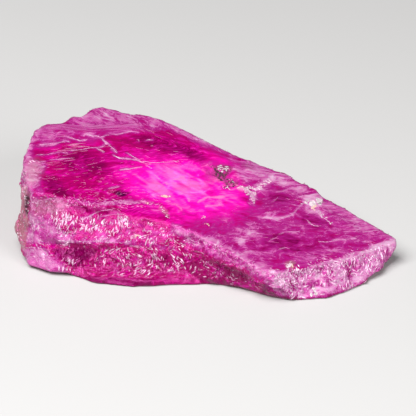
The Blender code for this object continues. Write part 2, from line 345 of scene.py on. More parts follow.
# Places on the sides without broken facets.
SMOOTH_ZONES = (
    # Dark facet.
    (1.0, 4, pairs(75, 204, 100, 206, 150, 205, 166, 212, 172, 228, 150, 219, 120, 215, 90, 217)),
    # Sole.
    (1.0, 2, SOLE),
    # Left end of the shoulder.
    (0.55, 5, pairs(28, 214, 46, 214, 52, 226, 66, 236, 64, 242, 28, 242)),
    # Right tip.
    (0.8, 3, pairs(388, 226, 406, 230, 406, 246, 389, 247, 391, 238)),
    # Toe.
    (0.8, 4, pairs(24, 250, 44, 249, 53, 258, 62, 267, 60, 276, 36, 276, 24, 264)),
)

# A level place with broken facets.
ROUGH_ZONES = (
    # Lower layer, down to the sole.
    (1.0, 2, pairs(52, 254, 190, 255, 206, 262, 218, 270, 242, 282, 234, 284, 225, 281, 185, 278, 153, 280,
        125, 279, 85, 277, 68, 274, 56, 262)),
)

# Places that stay free of frost.
CLEAR_ZONES = (
    # Dark facet.
    (0.9, 1.5, pairs(73, 204, 88, 206, 105, 206.5, 125, 206, 142, 205, 158, 207, 167, 214, 169, 221,
        150, 217, 135, 213, 118, 213, 100, 215, 84, 213, 74, 209)),
    # Sole.
    (1.0, 1.5, SOLE),
    # Recess under the lip.
    (0.7, 1.5, pairs(50, 245, 75, 244, 100, 244, 130, 245.5, 160, 249, 160, 253, 130, 250, 100, 249,
        75, 249, 52, 250)),
    # Triangle under the rim.
    (0.8, 3, pairs(200, 255, 221, 262, 247, 274, 262, 284, 278, 298, 262, 294, 245, 287, 225, 282,
        200, 280)),
    # Foot of the front-right face.
    (0.6, 1.5, pairs(262, 288, 285, 299, 305, 301, 345, 294, 374, 277, 380, 281, 347, 299, 305, 307,
        284, 304, 262, 297)),
)

# Places stained by cream and by grey minerals.
CREAM_ZONES = (
    # Knob.
    (0.55, 2, pairs(10, 188, 27, 186, 28, 200, 28, 244, 26, 250, 10, 250)),
    # Left margin.
    (0.3, 6, pairs(26, 160, 38, 160, 42, 170, 36, 184, 26, 186)),
    # Salmon patch.
    (0.28, 4, pairs(32, 200, 55, 198, 70, 205, 60, 214, 34, 216)),
    # Front edge.
    (0.45, 1.5, pairs(286, 264, 290, 261, 295, 263, 294, 268, 287, 268)),
    # In the glow.
    (0.8, 0.8, pairs(160, 196, 166, 195, 171, 196.5, 166, 197.8)),
    # Beside the dark facet.
    (0.35, 1, pairs(159, 205, 163, 206, 167, 211, 170, 218, 166, 216, 161, 210)),
)
GREY_ZONES = (
    # Round the grey grains of the top.
    (0.85, 2, pairs(214, 166, 222, 164, 231, 167, 229, 174, 226, 180, 218, 181, 213, 174)),
    (0.4, 3, pairs(204, 170, 214, 167, 216, 178, 212, 184, 205, 182)),
    (0.75, 2, pairs(223, 180, 230, 178, 238, 181, 238, 186, 230, 188, 224, 189)),
    (0.45, 3, pairs(240, 165, 246, 163, 254, 167, 250, 170, 242, 169)),
    # Left end.
    (0.8, 1.5, pairs(25, 194, 29, 192, 29, 214, 26, 216)),
)

# Healed cracks: width in mm, and points in pixels of the photograph.
PALE_CRACKS = (
    # Net of cracks at the left.
    (0.06, pairs(84, 134, 92, 136, 100, 137, 106, 143, 112, 147, 117, 152)),
    (0.045, pairs(66, 136, 74, 139, 80, 141, 85, 140)),
    (0.04, pairs(100, 137, 108, 135, 118, 134, 128, 132, 138, 132)),
    (0.045, pairs(38, 145, 50, 144, 62, 142, 70, 141)),
    (0.04, pairs(68, 151, 78, 150, 88, 148, 100, 147, 108, 144)),
    (0.04, pairs(97, 148, 101, 151, 105, 152)),
    (0.05, pairs(113, 155, 120, 158, 128, 159, 136, 160, 144, 162, 148, 162)),
    (0.035, pairs(148, 163, 158, 163, 168, 162, 180, 161)),
    (0.035, pairs(144, 162, 148, 166, 152, 168)),
    (0.03, pairs(126, 152, 132, 156, 138, 159, 142, 162)),
    (0.03, pairs(36, 155, 48, 154, 60, 152, 68, 153)),
    (0.03, pairs(38, 162, 50, 160, 62, 159, 74, 158)),
    (0.045, pairs(145, 141, 149, 140, 154, 140)),
    (0.03, pairs(136, 141, 138, 139, 139, 142)),
    (0.04, pairs(120, 170, 128, 169, 136, 168, 142, 167)),
    (0.035, pairs(105, 189, 112, 188, 118, 187)),
    # Across the dark facet.
    (0.05, pairs(82, 218, 90, 216, 98, 212, 108, 210, 116, 209)),
    (0.035, pairs(100, 217, 110, 215, 122, 214)),
    # Lip: a pale ribbon along its edge, a painted highlight.
    (0.045, pairs(58, 241, 70, 241, 82, 241.5, 94, 241.5, 106, 242, 118, 242.5, 130, 244)),
    (0.04, pairs(132, 245, 142, 247, 152, 249, 162, 250)),
    # Right part of the top.
    (0.05, pairs(266, 218, 274, 219, 282, 218, 290, 216, 295, 212, 298, 208, 303, 204, 309, 200)),
    (0.045, pairs(305, 219, 309, 222, 313, 225, 318, 226, 325, 225)),
    (0.085, pairs(317, 211, 320, 215, 325, 219, 330, 223)),
    (0.03, pairs(277, 192, 283, 191, 288, 190)),
    (0.03, pairs(271, 202, 275, 200, 278, 197)),
    (0.035, pairs(318, 242, 328, 242, 338, 240, 348, 239, 356, 238)),
    (0.03, pairs(362, 232, 372, 231, 384, 230)),
    (0.03, pairs(276, 236, 282, 233, 290, 232, 300, 232)),
    (0.03, pairs(268, 242, 272, 240, 277, 237)),
    (0.03, pairs(276, 250, 284, 248, 290, 249)),
)

# Pale streaks, which only tint the skin: width in mm, and points. Those along the lip and the left edge are
# painted highlights; the rest lie inside the clear part.
SOFT_STREAKS = (
    # Lip: a painted highlight along its edge.
    (0.075, pairs(30, 240, 40, 240.5, 55, 241, 70, 241, 85, 240.5, 100, 240.5, 115, 240.5, 130, 242)),
    (0.06, pairs(130, 242, 145, 244, 160, 247, 175, 249)),
    # Left edge: a painted highlight along the corner.
    (0.05, pairs(31, 182, 30.5, 195, 31, 210, 30.5, 225, 29.5, 240)),
    # Veils in the glow.
    (0.05, pairs(150, 172, 164, 183, 176, 189, 190, 200)),
    (0.04, pairs(143, 190, 152, 193, 158, 197)),
    (0.045, pairs(176, 172, 184, 180, 192, 188)),
    (0.06, pairs(180, 195, 188, 193, 196, 192, 203, 191)),
    (0.06, pairs(199, 202, 206, 198, 214, 197, 220, 197)),
    (0.05, pairs(206, 206, 214, 205, 222, 205)),
    (0.06, pairs(194, 170, 198, 178, 204, 186)),
    (0.06, pairs(166, 200, 176, 205, 184, 214)),
    (0.06, pairs(160, 186, 172, 180, 186, 176)),
)

# Fields of short flecks: outline, count, lengths in pixels, widths in mm, bearing in degrees and its spread.
FLECK_FIELDS = (
    # Left field.
    (pairs(38, 150, 60, 148, 110, 156, 135, 170, 120, 195, 80, 197, 50, 192, 40, 170), 150, (0.8, 6),
        (0.006, 0.018), 9, 9),
    (pairs(70, 190, 140, 186, 160, 200, 130, 203, 80, 202), 90, (0.8, 5), (0.006, 0.018), 10, 12),
    # Salmon patch and the edge beside it.
    (pairs(34, 199, 75, 198, 75, 212, 34, 215), 150, (1.2, 3), (0.02, 0.045), 10, 60),
    (pairs(76, 200, 150, 200, 160, 206, 120, 208, 80, 207), 90, (1.5, 6), (0.012, 0.035), 8, 18),
    # Terrace.
    (pairs(48, 126, 85, 122, 105, 110, 150, 120, 200, 140, 235, 156, 190, 138, 120, 132, 60, 132), 16,
        (4, 12), (0.006, 0.016), -18, 8),
    # Above the glow.
    (pairs(130, 145, 190, 150, 215, 165, 160, 165, 135, 158), 24, (1.5, 6), (0.006, 0.016), -5, 12),
    # Below the glow.
    (pairs(195, 190, 245, 195, 262, 215, 240, 235, 200, 225), 10, (3, 8), (0.006, 0.014), 4, 12),
    # Right part of the top.
    (pairs(240, 215, 300, 215, 395, 238, 360, 250, 300, 265, 265, 265, 225, 245), 44, (3, 14),
        (0.006, 0.016), 2, 12),
    (pairs(255, 170, 300, 182, 345, 208, 330, 215, 290, 205, 262, 190), 20, (3, 9), (0.006, 0.016), -12,
        14),
    # Rim.
    (pairs(170, 226, 200, 242, 262, 270, 262, 280, 225, 260, 190, 244), 90, (1.5, 5), (0.012, 0.035), -25,
        40),
    # Between the cracks at the left.
    (pairs(36, 140, 70, 136, 105, 142, 104, 158, 60, 166, 36, 164), 44, (5, 16), (0.01, 0.026), 6, 3),
)

# Fields of splinters on the sides: outline, count, lengths in pixels, bearing in degrees and its spread.
GLINT_FIELDS = (
    # Shoulder.
    (pairs(32, 216, 75, 214, 130, 218, 165, 228, 196, 250, 180, 249, 88, 245, 30, 243), 130, (2, 7), 72,
        30),
    (pairs(49, 216, 62, 216, 63, 228, 54, 227), 28, (2, 8), 66, 12),
    (pairs(70, 218, 82, 216, 82, 228, 72, 226), 24, (2, 7), 100, 16),
    (pairs(88, 218, 98, 218, 98, 229, 90, 228), 22, (2, 8), 88, 12),
    (pairs(113, 216, 132, 216, 130, 226, 116, 226), 40, (2, 7), 64, 20),
    (pairs(60, 236, 73, 236, 71, 244, 60, 243), 20, (2, 6), 20, 24),
    # Rim.
    (pairs(205, 240, 216, 243, 226, 252, 222, 258, 212, 250), 24, (1.5, 5), -40, 30),
    # Lower layer.
    (pairs(124, 257, 131, 258, 130, 270, 126, 270), 14, (4, 10), 84, 12),
    (pairs(95, 250, 118, 250, 118, 256, 96, 258), 22, (3, 8), 60, 25),
    (pairs(170, 258, 178, 258, 182, 270, 174, 270), 16, (3, 9), -60, 16),
    # Shoulder, upper half.
    (pairs(46, 216, 66, 216, 92, 218, 118, 218, 134, 221, 128, 227, 100, 228, 60, 228), 90, (2, 7), 78, 22),
    # Lower layer.
    (pairs(52, 249, 190, 250, 205, 262, 207, 275, 110, 275, 62, 270), 160, (2, 7), 70, 40),
    # Toe.
    (pairs(28, 248, 48, 250, 60, 268, 40, 270, 30, 262), 15, (1.5, 6), -60, 25),
    # Front-right face.
    (pairs(270, 274, 330, 266, 386, 250, 386, 260, 370, 278, 340, 292, 305, 299, 280, 294), 260, (2, 8), 80,
        40),
    (pairs(262, 268, 300, 268, 330, 257, 365, 248, 388, 240, 388, 245, 365, 256, 330, 265, 300, 276,
        270, 276), 160, (1.5, 5), 20, 50),
    (pairs(266, 274, 288, 272, 330, 263, 350, 258, 346, 268, 310, 280, 286, 290, 272, 284), 150, (2, 6), 60,
        40),
    (pairs(345, 258, 386, 243, 387, 256, 368, 275, 345, 284), 80, (2, 8), 80, 30),
    (pairs(268, 272, 300, 271, 300, 284, 286, 290, 272, 282), 50, (2, 6), -50, 30),
    # Rim and the triangle under it.
    (pairs(212, 243, 224, 246, 250, 262, 248, 268, 222, 254), 40, (1.5, 4), 30, 50),
    (pairs(196, 250, 221, 261, 250, 275, 240, 286, 205, 281), 45, (1.5, 5), 60, 50),
    # Left margin.
    (pairs(25, 168, 33, 162, 36, 168, 34, 184, 29, 190), 20, (2, 5), 75, 30),
    # Toe.
    (pairs(38, 253, 46, 255, 49, 262, 42, 261), 14, (2, 6), -55, 10),
    # Shoulder, lower half and ends.
    (pairs(58, 230, 165, 232, 190, 248, 110, 243, 60, 240), 90, (1.5, 5), 60, 50),
    (pairs(30, 216, 52, 216, 52, 242, 30, 242), 60, (1, 3.5), 70, 50),
    (pairs(120, 218, 160, 224, 185, 244, 150, 240, 118, 232), 50, (1.5, 4), 80, 40),
    # Salmon patch and the edge beside it.
    (pairs(32, 199, 66, 198, 66, 212, 34, 215), 60, (1.5, 4), 20, 50),
    (pairs(66, 200, 100, 200.5, 125, 201, 158, 203, 156, 205, 120, 204.5, 80, 205), 50, (1.5, 4), 15, 40),
)

# Clusters of grains: outline, count, radii in mm, and height as a share of the radius.
WHITE_GRAINS = (
    # Large grains of the right part.
    (pairs(309, 199, 316, 200, 321, 197, 322, 203, 318, 207, 312, 206), 12, (0.07, 0.14), 0.35),
    (pairs(300, 201, 308, 199, 309, 204, 302, 205), 6, (0.04, 0.07), 0.3),
    # Foot of the front-right face.
    (pairs(309, 288, 315, 288, 316, 294, 311, 295), 8, (0.04, 0.08), 0.7),
    # Among the grey grains.
    (pairs(217, 165, 226, 165, 229, 168, 227, 172, 222, 172, 218, 169), 40, (0.015, 0.05), 0.3),
    (pairs(229, 179, 233, 179.5, 234, 183, 229, 182), 10, (0.015, 0.035), 0.4),
    # Vein.
    (pairs(242, 184, 250, 186, 255, 187, 253, 192, 246, 191, 243, 188), 26, (0.015, 0.04), 0.35),
    # Below the glow.
    (pairs(201, 215, 205, 215, 206, 219, 202, 219), 6, (0.02, 0.045), 0.4),
    # Left end.
    (pairs(16, 170, 24, 165, 26, 182, 20, 188), 16, (0.02, 0.05), 0.4),
    (pairs(25.5, 197, 28.5, 195, 28.5, 212, 26, 214), 16, (0.015, 0.04), 0.4),
    # String of grains beside the large ones.
    (pairs(317, 210, 320, 210, 325, 216, 333, 222, 331, 225, 323, 219), 22, (0.015, 0.04), 0.4),
)
CRUST_GRAINS = (
    # Vein.
    (pairs(241, 186, 250, 190, 264, 181, 272, 176, 273, 180, 264, 187, 256, 193, 254, 204, 250, 200), 110,
        (0.015, 0.05), 0.4),
    # Knob.
    (pairs(16, 190, 24, 188, 26, 205, 22, 240, 16, 240), 36, (0.02, 0.05), 0.5),
    # Front edge.
    (pairs(286, 265, 290, 261, 293, 263, 292, 267, 287, 268), 22, (0.02, 0.05), 0.4),
    # Beside the dark facet.
    (pairs(160, 205, 164, 207, 168, 213, 171, 221, 167, 219, 162, 211), 20, (0.015, 0.035), 0.25),
    # Beside the grey grains.
    (pairs(222, 186, 228, 186, 230, 190, 224, 191), 10, (0.015, 0.04), 0.4),
    (pairs(236, 184, 240, 184, 242, 188, 237, 188), 8, (0.015, 0.04), 0.4),
)
CREAM_GRAINS = (
    # In the glow.
    (pairs(160, 196, 166, 195.2, 171, 196.5, 166, 197.6), 34, (0.02, 0.04), 0.4),
    # Front edge.
    (pairs(290, 265, 293, 264, 294, 267, 291, 267), 6, (0.02, 0.04), 0.4),
    # Beside the white grains.
    (pairs(311, 205, 316, 205, 315, 211, 312, 211), 10, (0.04, 0.08), 0.4),
    # Below the glow.
    (pairs(203, 223, 209, 224, 209, 226, 204, 225), 8, (0.015, 0.03), 0.5),
    # Shoulder.
    (pairs(135, 235, 139, 235, 138, 238, 135, 238), 6, (0.02, 0.04), 0.6),
    # Edge above the dark facet.
    (pairs(144, 202, 149, 202, 149, 204, 145, 204), 6, (0.015, 0.03), 0.5),
)
DARK_GRAINS = (
    # Grey grains of the top.
    (pairs(208, 165.5, 214, 165.5, 217, 168, 214, 168, 209, 167), 10, (0.02, 0.04), 0.2),
    (pairs(214, 167, 218, 171, 224, 173.5, 228, 173, 226, 178, 220, 181, 216, 177), 34, (0.02, 0.07), 0.2),
    (pairs(228, 166, 231, 168, 230, 172, 227, 171), 6, (0.02, 0.05), 0.2),
    (pairs(227, 179, 234, 180, 238, 183, 235, 187, 228, 187, 223, 188, 225, 184), 26, (0.02, 0.06), 0.2),
    # Left end.
    (pairs(25, 196, 28.5, 194, 28.5, 214, 26, 216), 34, (0.02, 0.06), 0.5),
)


def ramp(value, low, high):
    """0 below low, 1 above high, and smooth between. Takes numbers or arrays."""
    t = np.clip((value - low) / (high - low), 0.0, 1.0)
    return t * t * (3.0 - 2.0 * t)


def picture_of(points):
    """Columns and rows of the photograph where an array of points lies."""
    rel = points - np.array(EYE)
    depth = rel @ np.array(VIEW_AHEAD)
    columns = PICTURE_MIDDLE + FOCAL_PIXELS * (rel @ np.array(VIEW_RIGHT)) / depth
    rows = PICTURE_MIDDLE - FOCAL_PIXELS * (rel @ np.array(VIEW_UP)) / depth
    return columns, rows


def cast(tree, column, row):
    """Place and normal on the skin that the photograph shows at a pixel, or None beside the crystal."""
    ray = (
        VIEW_AHEAD
        + VIEW_RIGHT * ((column - PICTURE_MIDDLE) / FOCAL_PIXELS)
        - VIEW_UP * ((row - PICTURE_MIDDLE) / FOCAL_PIXELS)
    )
    place, normal, _, _ = tree.ray_cast(EYE, ray.normalized())
    if place is None:
        return None
    return place, normal


def new_object(name, data):
    """An object in the scene that shows some data."""
    obj = bpy.data.objects.new(name, data)
    bpy.context.scene.collection.objects.link(obj)
    return obj


def remeshed(source):
    """A copy of a solid with an even, slightly smoothed skin, in millimetres."""
    mesh = source.data.copy()
    mesh.transform(Matrix.Scale(1.0 / MM, 4))
    obj = new_object("crystal_skin", mesh)
    remesh = obj.modifiers.new("even_skin", "REMESH")
    remesh.mode = "VOXEL"
    remesh.voxel_size = SKIN_VOXEL
    smooth = obj.modifiers.new("soft", "SMOOTH")
    smooth.factor = SMOOTHING_FACTOR
    smooth.iterations = SKIN_SMOOTHING
    graph = bpy.context.evaluated_depsgraph_get()
    skin = bpy.data.meshes.new_from_object(obj.evaluated_get(graph))
    obj.modifiers.clear()
    obj.data = skin
    return obj


def mesh_arrays(mesh):
    """Places and normals of a mesh's vertices, one row for each."""
    count = len(mesh.vertices)
    places = np.empty(count * 3)
    normals = np.empty(count * 3)
    mesh.vertices.foreach_get("co", places)
    mesh.vertex_normals.foreach_get("vector", normals)
    return places.reshape(-1, 3), normals.reshape(-1, 3)


def facet_height(place):
    """Height of the tilted flat facet over the cell of space that holds a place, in cells."""
    centre = noise.voronoi(place)[1][0]
    tilt = noise.cell_vector(centre * TILT_FACTOR) - Vector((0.5, 0.5, 0.5))
    return tilt.dot(place - centre) * FACET_SLOPE


def side_relief(x, y, z):
    """Height of the broken facets of all sizes at a place."""
    drawn = Vector((x, y, z * UPWARD_STRETCH))
    return sum(depth * facet_height(drawn / size) for size, depth in SIDE_FACETS)


def facet_tint(x, y, z):
    """A random number from 0 to 1 that is the same all over a facet, mixed from the facet sizes."""
    drawn = Vector((x, y, z * UPWARD_STRETCH))
    total = 0.0
    for size, _ in SIDE_FACETS:
        centre = noise.voronoi(drawn / size)[1][0]
        total += noise.cell(centre * TINT_FACTOR)
    return total / len(SIDE_FACETS)


def top_relief(x, y):
    """Growth lines on a slow swell."""
    along = x * math.cos(GROWTH_BEARING) + y * math.sin(GROWTH_BEARING)
    across = y * math.cos(GROWTH_BEARING) - x * math.sin(GROWTH_BEARING)
    swell = noise.noise(Vector((x, y, SWELL_LAYER)) / SWELL_SIZE)
    line = noise.noise(Vector((along * GROWTH_CHANGE, across, GROWTH_LAYER)) / GROWTH_SPACING)
    return SWELL_HEIGHT * swell + GROWTH_HEIGHT * line


def brokenness(normals, columns, rows):
    """1 on the broken sides and in the rough zones, and 0 on the top, the underside and the smooth zones."""
    upright = 1.0 - ramp(np.abs(normals[:, 2]), *SIDE_LEVELS)
    rough = np.maximum(upright, painted(columns, rows, ROUGH_ZONES) * (normals[:, 2] > 0.0))
    return rough * (1.0 - painted(columns, rows, SMOOTH_ZONES))


def where_weighted(function, places, weights, elsewhere):
    """A function's values at the places that have some weight, and another value at the rest."""
    pairs = zip(places, weights)
    return np.array([function(*place) if weight > LEAST_WEIGHT else elsewhere for place, weight in pairs])


def add_relief(obj):
    """Moves the skin along its normals to form the broken facets and the growth lines."""
    mesh = obj.data
    places, normals = mesh_arrays(mesh)
    broken_share = brokenness(normals, *picture_of(places))
    side = broken_share * ramp(places[:, 2], *SIDE_HEIGHTS)
    top = ramp(normals[:, 2], *TOP_LEVELS) * ramp(places[:, 2], *TOP_HEIGHTS) * (1.0 - broken_share)
    broken = where_weighted(side_relief, places, side, 0.0)
    grown = where_weighted(top_relief, places[:, :2], top, 0.0)
    moved = places + normals * (side * broken + top * grown)[:, None]
    moved[:, 2] = np.maximum(moved[:, 2], 0.0)
    mesh.vertices.foreach_set("co", moved.ravel())
    mesh.update()


def edge_distance(columns, rows, start, end):
    """Pixels from each place to a straight edge."""
    (x0, y0), (x1, y1) = start, end
    dx, dy = x1 - x0, y1 - y0
    t = np.clip(((columns - x0) * dx + (rows - y0) * dy) / (dx * dx + dy * dy), 0.0, 1.0)
    return np.hypot(columns - x0 - t * dx, rows - y0 - t * dy)


def line_distance(columns, rows, points):
    """Pixels from each place to a line of points."""
    nearest = np.full(columns.shape, np.inf)
    for start, end in zip(points, points[1:]):
        nearest = np.minimum(nearest, edge_distance(columns, rows, start, end))
    return nearest


def inside_distance(columns, rows, outline):
    """Pixels from each place to an outline, positive inside it."""
    inside = np.zeros(columns.shape, bool)
    for (x0, y0), (x1, y1) in zip(outline, outline[1:] + outline[:1]):
        if y1 != y0:
            inside ^= ((y0 > rows) != (y1 > rows)) & (columns < x0 + (rows - y0) * (x1 - x0) / (y1 - y0))
    nearest = line_distance(columns, rows, outline + outline[:1])
    return np.where(inside, nearest, -nearest)


def painted(columns, rows, zones):
    """Joint strength of soft zones at each place."""
    left = np.ones(columns.shape)
    for strength, softness, outline in zones:
        left *= 1.0 - strength * ramp(inside_distance(columns, rows, outline), -softness, softness)
    return 1.0 - left


def haloes(columns, rows, cracks):
    """Strength of the soft pale haloes beside the healed cracks."""
    left = np.ones(columns.shape)
    for width, points in cracks:
        reach = HALO_REACH * width * PIXELS_PER_MM
        left *= 1.0 - HALO_STRENGTH * (1.0 - ramp(line_distance(columns, rows, points), 0.0, reach))
    return 1.0 - left


def flow_of(places, normals, columns):
    """Coordinates along and across the streaks, in mm.

    The streaks turn from one part of the top to the next, and run up the sides.
    """
    x, y, z = places.T
    right = ramp(columns, *RIGHT_PART)
    back = ramp(y - np.interp(x, *BACK_TERRACE_LINE), *BACK_TERRACE_START)
    side = 1.0 - ramp(np.abs(normals[:, 2]), *STREAK_LEVELS)
    along = np.zeros_like(x)
    across = np.zeros_like(x)
    parts = (
        ((1.0 - back) * (1.0 - right), LEFT_BEARING),
        ((1.0 - back) * right, RIGHT_BEARING),
        (back, BACK_BEARING),
    )
    for share, bearing in parts:
        turn = math.radians(bearing)
        along += share * (x * math.cos(turn) + y * math.sin(turn))
        across += share * (y * math.cos(turn) - x * math.sin(turn))
    along = along * (1.0 - side) + z * side
    across = across * (1.0 - side) + (x + y) * side
    return np.stack((along, across, z), axis=1)


def paint_skin(obj):
    """Writes the zones to the skin as one attribute each."""
    mesh = obj.data
    places, normals = mesh_arrays(mesh)
    columns, rows = picture_of(places)
    waver = np.array([noise.noise_vector(Vector(place) / WAVER_LENGTH)[:2] for place in places])
    columns = columns + WAVER * waver[:, 0]
    rows = rows + WAVER * WAVER_FLATNESS * waver[:, 1]
    seen = ramp(-(normals @ np.array(VIEW_AHEAD)), *SEEN_RANGE)
    side = brokenness(normals, columns, rows)
    dark = painted(columns, rows, DARK_ZONES)
    frost = painted(columns, rows, FROST_ZONES)
    frost = 1.0 - (1.0 - frost) * (1.0 - haloes(columns, rows, PALE_CRACKS + SOFT_STREAKS))
    frost *= (1.0 - DARK_CLEARS_FROST * dark) * (1.0 - painted(columns, rows, CLEAR_ZONES))
    # The dark zones hold deep places and painted shade, and the glow zones a painted glow.
    values = {
        "frost": frost * seen + UNSEEN_FROST * side * (1.0 - seen),
        "dark": dark * seen,
        "glow": painted(columns, rows, PAINTED_GLOW_ZONES) * seen,
        "cream": painted(columns, rows, CREAM_ZONES) * seen,
        "grey": painted(columns, rows, GREY_ZONES) * seen,
        "side": side,
        "facet": where_weighted(facet_tint, places, side, MIDDLE_TINT),
    }
    for name, value in values.items():
        layer = mesh.attributes.new(name, "FLOAT", "POINT")
        layer.data.foreach_set("value", value.astype(np.float32))
    flow = mesh.attributes.new("flow", "FLOAT_VECTOR", "POINT")
    flow.data.foreach_set("vector", flow_of(places, normals, columns).astype(np.float32).ravel())


def shade_skin(mesh):
    """The top and the sole are smooth, and the broken sides are flat-shaded so that each facet glints."""
    normals = np.empty(len(mesh.polygons) * 3)
    mesh.polygons.foreach_get("normal", normals)
    smooth = np.abs(normals.reshape(-1, 3)[:, 2]) > FLAT_SHADED_BELOW
    mesh.polygons.foreach_set("use_smooth", smooth)


class Nodes:
    """Adds nodes to one material and links them."""

    def __init__(self, name):
        self.material = bpy.data.materials.new(name)
        self.material.use_nodes = True
        self.tree = self.material.node_tree
        self.shader = self.tree.nodes["Principled BSDF"]
        self.output = self.tree.nodes["Material Output"]

    def feed(self, node, inputs):
        """Links each named or numbered input of a node to a socket, or sets it to a number or colour."""
        for name, value in inputs.items():
            if isinstance(value, bpy.types.NodeSocket):
                self.tree.links.new(value, node.inputs[name])
            else:
                node.inputs[name].default_value = value

    def add(self, kind, inputs, **settings):
        """A new node with its settings and inputs."""
        node = self.tree.nodes.new(kind)
        for name, value in settings.items():
            setattr(node, name, value)
        self.feed(node, inputs)
        return node

    def attribute(self, name):
        """A zone that was painted on the skin."""
        return self.add("ShaderNodeAttribute", {}, attribute_name=name).outputs["Fac"]

    def maths(self, operation, first, second):
        """Two values joined by an operation."""
        return self.add("ShaderNodeMath", {0: first, 1: second}, operation=operation).outputs[0]

    def times(self, first, second):
        """The product of two values."""
        return self.maths("MULTIPLY", first, second)

    def plus(self, first, *others):
        """The sum of values."""
        for other in others:
            first = self.maths("ADD", first, other)
        return first

    def blend(self, share, first, second):
        """A mix of two colours with a share of the second."""
        node = self.add("ShaderNodeMix", {"Factor": share, "A": first, "B": second}, data_type="RGBA")
        return node.outputs["Result"]

    def spread(self, value, low, high, to_low=0.0, to_high=1.0):
        """Maps low..high to to_low..to_high, held at both ends."""
        ends = {"From Min": low, "From Max": high, "To Min": to_low, "To Max": to_high}
        return self.add("ShaderNodeMapRange", {"Value": value, **ends}, clamp=True).outputs["Result"]

    def place(self):
        """The place on the object, in mm."""
        place = self.add("ShaderNodeTexCoord", {}).outputs["Object"]
        node = self.add("ShaderNodeVectorMath", {0: place, "Scale": 1.0 / MM}, operation="SCALE")
        return node.outputs["Vector"]

    def flow(self):
        """Coordinates along and across the streaks, in mm, bent by two sizes of noise."""
        bent = self.add("ShaderNodeAttribute", {}, attribute_name="flow").outputs["Vector"]
        for size, reach in FLOW_BENDS:
            inputs = {"Vector": self.place(), "Scale": 1.0 / size, "Detail": 1.0}
            wave = self.add("ShaderNodeTexNoise", inputs)
            terms = {0: wave.outputs["Color"], 1: (reach, reach, reach), 2: bent}
            bent = self.add("ShaderNodeVectorMath", terms, operation="MULTIPLY_ADD").outputs["Vector"]
        return bent

    def slanted(self):
        """The place turned in the plan so that its X runs along the veils of the glow."""
        turn = {"Vector": self.place(), "Rotation": (0.0, 0.0, math.radians(VEIL_BEARING))}
        return self.add("ShaderNodeMapping", turn, vector_type="TEXTURE").outputs["Vector"]

    def noise(self, where, size, stretch=(1.0, 1.0, 1.0), detail=3.0, rough=0.55, warp=0.0):
        """Noise with features of a size in mm, drawn out by a stretch along each axis."""
        scale = tuple(size * share for share in stretch)
        mapping = self.add("ShaderNodeMapping", {"Vector": where, "Scale": scale}, vector_type="TEXTURE")
        return self.add("ShaderNodeTexNoise", {
            "Vector": mapping.outputs["Vector"],
            "Scale": 1.0,
            "Detail": detail,
            "Roughness": rough,
            "Distortion": warp,
        }).outputs["Fac"]

    def threads(self, value, thickness):
        """1 along thin winding lines where a noise crosses its middle, and 0 off them."""
        off = self.maths("ABSOLUTE", self.maths("SUBTRACT", value, 0.5), 0.0)
        return self.spread(off, 0.0, thickness, 1.0, 0.0)


def body_colour(n, glow, dark, broad, streak, fine):
    """The clear body: crimson to hot pink to the pale painted glow, and deep where the eye looks into it or
    where shade is painted.
    """
    cloud = n.noise(n.slanted(), 0.42, (3.2, 1.0, 1.0), detail=1.0, warp=0.3)
    shine = n.times(glow, n.spread(cloud, 0.35, 0.65, -0.30, 0.42))
    uneven = n.plus(n.spread(broad, 0.30, 0.70, -0.26, 0.26), n.times(fine, 0.60))
    lit = n.plus(glow, shine, n.times(uneven, n.spread(glow, 0.2, 0.7, 1.0, 0.3)))
    colour = n.blend(n.spread(lit, 0.0, 0.55), CRIMSON, HOT_PINK)
    colour = n.blend(n.spread(lit, 0.60, 1.0), colour, GLOW_PINK)
    gloom = n.times(dark, n.spread(fine, 0.0, 0.6, 1.2, 0.5))
    lines = n.times(n.spread(streak, 0.34, 0.48, 0.38, 0.0), n.spread(glow, 0.2, 0.6, 1.0, 0.0))
    gloom = n.plus(gloom, n.spread(broad, 0.25, 0.50, 0.35, 0.0), lines)
    colour = n.blend(n.spread(gloom, 0.0, 1.0), colour, DEEP)
    black = n.times(n.spread(dark, 0.80, 0.88), n.spread(gloom, 0.90, 1.10))
    return n.blend(black, colour, INK)


def top_rime(n, flow, frost, glow, broad, fine):
    """Frosting of the top: clouds, winding threads and fine streaks, strongest in the frosted zones."""
    clouds = n.spread(broad, 0.32, 0.68, -0.42, 0.34)
    wisp = n.threads(n.noise(flow, 0.60, (2.6, 1.0, 1.0), detail=3.0, warp=0.6), 0.022)
    contour = n.threads(n.noise(flow, 0.26, (2.2, 1.0, 1.0), detail=2.0, warp=0.8), 0.040)
    lines = n.plus(n.times(wisp, 0.35), n.times(contour, 0.22), n.times(fine, 0.30))
    lines = n.times(lines, n.spread(glow, 0.2, 0.7, 1.0, 0.12))
    gain = n.spread(frost, 0.0, 0.5, 0.24, 1.0)
    return n.plus(frost, n.times(gain, n.plus(clouds, lines)))


def side_rime(n, frost, grain):
    """Frosting of the broken sides, which changes from facet to facet and from patch to patch."""
    facets = n.spread(n.attribute("facet"), 0.1, 0.9, -0.20, 0.20)
    patches = n.spread(n.noise(n.place(), 0.20, detail=3.0), 0.34, 0.66, -0.32, 0.26)
    total = n.plus(frost, n.plus(facets, patches))
    return n.plus(total, n.spread(grain, 0.30, 0.70, -0.16, 0.16))


def painted_glint_strokes(n, flow, side, dark, broad):
    """Painted glints: fans of short bright strokes on the broken sides."""
    stroke = n.noise(flow, 0.085, (2.8, 1.0, 1.0), detail=1.0, warp=0.5)
    fans = n.times(n.spread(stroke, 0.58, 0.64), n.spread(broad, 0.44, 0.54))
    shown = n.times(n.spread(side, 0.3, 0.8), n.spread(dark, 0.0, 0.7, 0.72, 0.15))
    return n.times(fans, shown)


